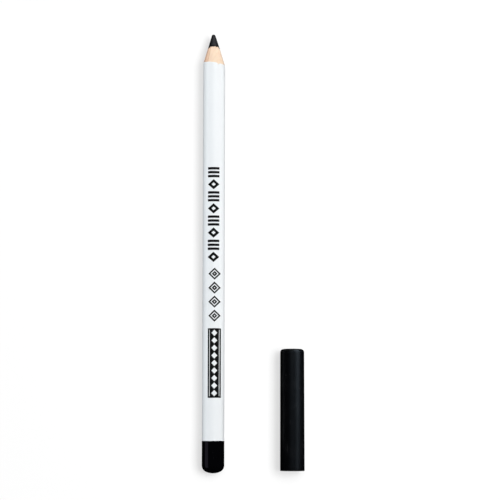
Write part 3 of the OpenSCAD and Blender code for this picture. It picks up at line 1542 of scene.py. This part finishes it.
@dataclass
class Studio:
    """A bright sweep, soft lights from above and all round, cards for the reflections, the camera."""

    camera_at: Triple = (-0.001072, -0.064105, 0.59218)
    camera_tilt: float = 6.2491
    camera_roll: float = 0.0549
    lens: float = 124.85
    fill: float = 0.12
    floor_half: float = 3
    floor_glow: float = 0.62
    glow_reach: Point = (0.2, 1.2)
    paper: float = 0.2
    lamps: tuple[Lamp, ...] = (
        Lamp("key", (0.3, 0.3, 1.0), (0.7, 0.7), 10.3, Lit.THINGS),
        Lamp("wrap_left", (-1.0, 0.45, 0.28), (1.6, 0.5), 9.7, Lit.THINGS, colour=(0.93, 0.97, 1.0)),
        Lamp("wrap_right", (1.0, 0.2, 0.28), (1.6, 0.5), 5.7, Lit.THINGS),
        Lamp("wrap_front", (0.1, -1.4, 0.35), (1.2, 0.5), 3.1, Lit.THINGS),
        Lamp("shadow_right", (0.5, 0.05, 1.0), (0.5, 0.5), 17.4, Lit.FLOOR),
        Lamp("shadow_back", (0.5, 0.5, 1.0), (0.5, 0.5), 4.6, Lit.FLOOR),
        Lamp("shadow_top", (0.0, 0.3, 1.0), (0.5, 0.5), 5.0, Lit.FLOOR),
        Lamp("shadow_front", (0.7, -0.4, 1.0), (0.5, 0.5), 2.6, Lit.FLOOR),
        Lamp("card_left", (-0.9, 0.0, 0.32), (1.4, 0.64), 0.38, **BARREL_CARD),
        Lamp("card_right", (0.2, 0.1, 0.17), (0.3, 0.2), 1.5, aim=(0.013, -0.03, 0.004), **CAP_CARD),
        Lamp("card_top", (-0.06, 0.25, 1.0), (0.4, 0.5), 1.7, **CAP_CARD),
        Lamp("card_front", (0.1, -0.8, 0.4), (0.9, 0.4), 3.0, **CAP_CARD),
        Lamp("card_rim", (0.5, 0.75, 0.06), (0.3, 0.12), 3.5, **CAP_CARD),
        Lamp("card_far", (0.15, 0.6, 0.8), (0.8, 0.5), 0.7, Lit.GLOSS),
        Lamp("card_back", (0.1, 1.0, 0.42), (1.2, 0.3), 2.5, Lit.GLOSS),
    )

    def floor(self) -> bpy.types.Object:
        """Lays the pale floor, which the camera sees a little overexposed.

        Returns:
            The floor, which isn't part of the object.
        """
        bm = bmesh.new()
        bmesh.ops.create_grid(bm, x_segments=1, y_segments=1, size=self.floor_half)
        mesh = mesh_of(bm, "floor")
        floor = placed("floor", mesh)
        material = bpy.data.materials.new("paper")
        material.use_nodes = True
        graph = Graph(material.node_tree)
        shader = material.node_tree.nodes["Principled BSDF"]
        preset(shader, Base_Color=(self.paper, self.paper, self.paper, 1), Emission_Color=(1, 1, 1, 1))
        preset(shader, Roughness=1.0, Specular_IOR_Level=0.0)
        seen = graph.add("LightPath").outputs["Is Camera Ray"]
        out = graph.length(graph.add("TexCoord").outputs["Object"])
        glow = graph.ease(out, *self.glow_reach, self.floor_glow, 1.0)
        graph.feed(shader.inputs["Emission Strength"], graph.times(seen, glow))
        mesh.materials.append(material)
        floor.visible_glossy = False
        return floor

    def world(self) -> None:
        """Sets an even white surround that glossy surfaces don't mirror."""
        world = bpy.data.worlds.new("surround")
        world.use_nodes = True
        bpy.context.scene.world = world
        graph = Graph(world.node_tree)
        back = world.node_tree.nodes["Background"]
        preset(back, Color=(1, 1, 1, 1))
        rays = graph.add("LightPath").outputs
        lit = graph.times(graph.minus(1, rays["Is Glossy Ray"]), self.fill)
        graph.feed(back.inputs["Strength"], graph.math("MAXIMUM", lit, rays["Is Camera Ray"]))

    def camera(self) -> bpy.types.Object:
        """Sets up the camera at the photograph's angle.

        Returns:
            The camera.
        """
        data = bpy.data.cameras.new("camera")
        data.lens = self.lens
        data.sensor_width = 36
        camera = placed("camera", data)
        camera.location = self.camera_at
        camera.rotation_euler = (math.radians(self.camera_tilt), 0, math.radians(self.camera_roll))
        bpy.context.scene.camera = camera
        return camera

    def build(self) -> None:
        """Sets up the floor, the surround, the lights and the camera."""
        floor = self.floor()
        self.world()
        for lamp in self.lamps:
            lamp.hang(floor)
        self.camera()
        bpy.context.scene.view_settings.view_transform = "Standard"


def main() -> None:
    """Builds the pencil, its cap and the studio."""
    logging.basicConfig(level=logging.INFO, format="%(message)s")
    effects = Effects()
    rod = Rod.of("lacquer_coat", "end_dip", "kohl_core")
    core = Rod.of("kohl_core")
    wood = Rod.of("slat_left", "slat_right")
    coat = Rod.of("lacquer_coat")
    dip = Rod.of("end_dip")
    cap = Rod.of("cap")
    bore = next(mount for mount in frame["record"]["mounts"] if mount["name"] == "cap_bore")["dims"]
    dome = Dome(dip.radius_mm)
    blade = Blade.of(rod.length_mm)
    KohlCore(rod, core, blade, effects).build()
    WoodCasing(rod, wood, core, dome, blade, effects).build()
    LacquerCoat(rod, coat, wood, dome, blade, effects).build()
    EndDip(rod, dip, coat, dome, effects).build()
    PrintedBorder(rod, coat, effects).build()
    PullOffCap(cap, bore["r_mm"], bore["length_mm"], effects).build()
    Studio().build()


if __name__ == "__main__":
    main()
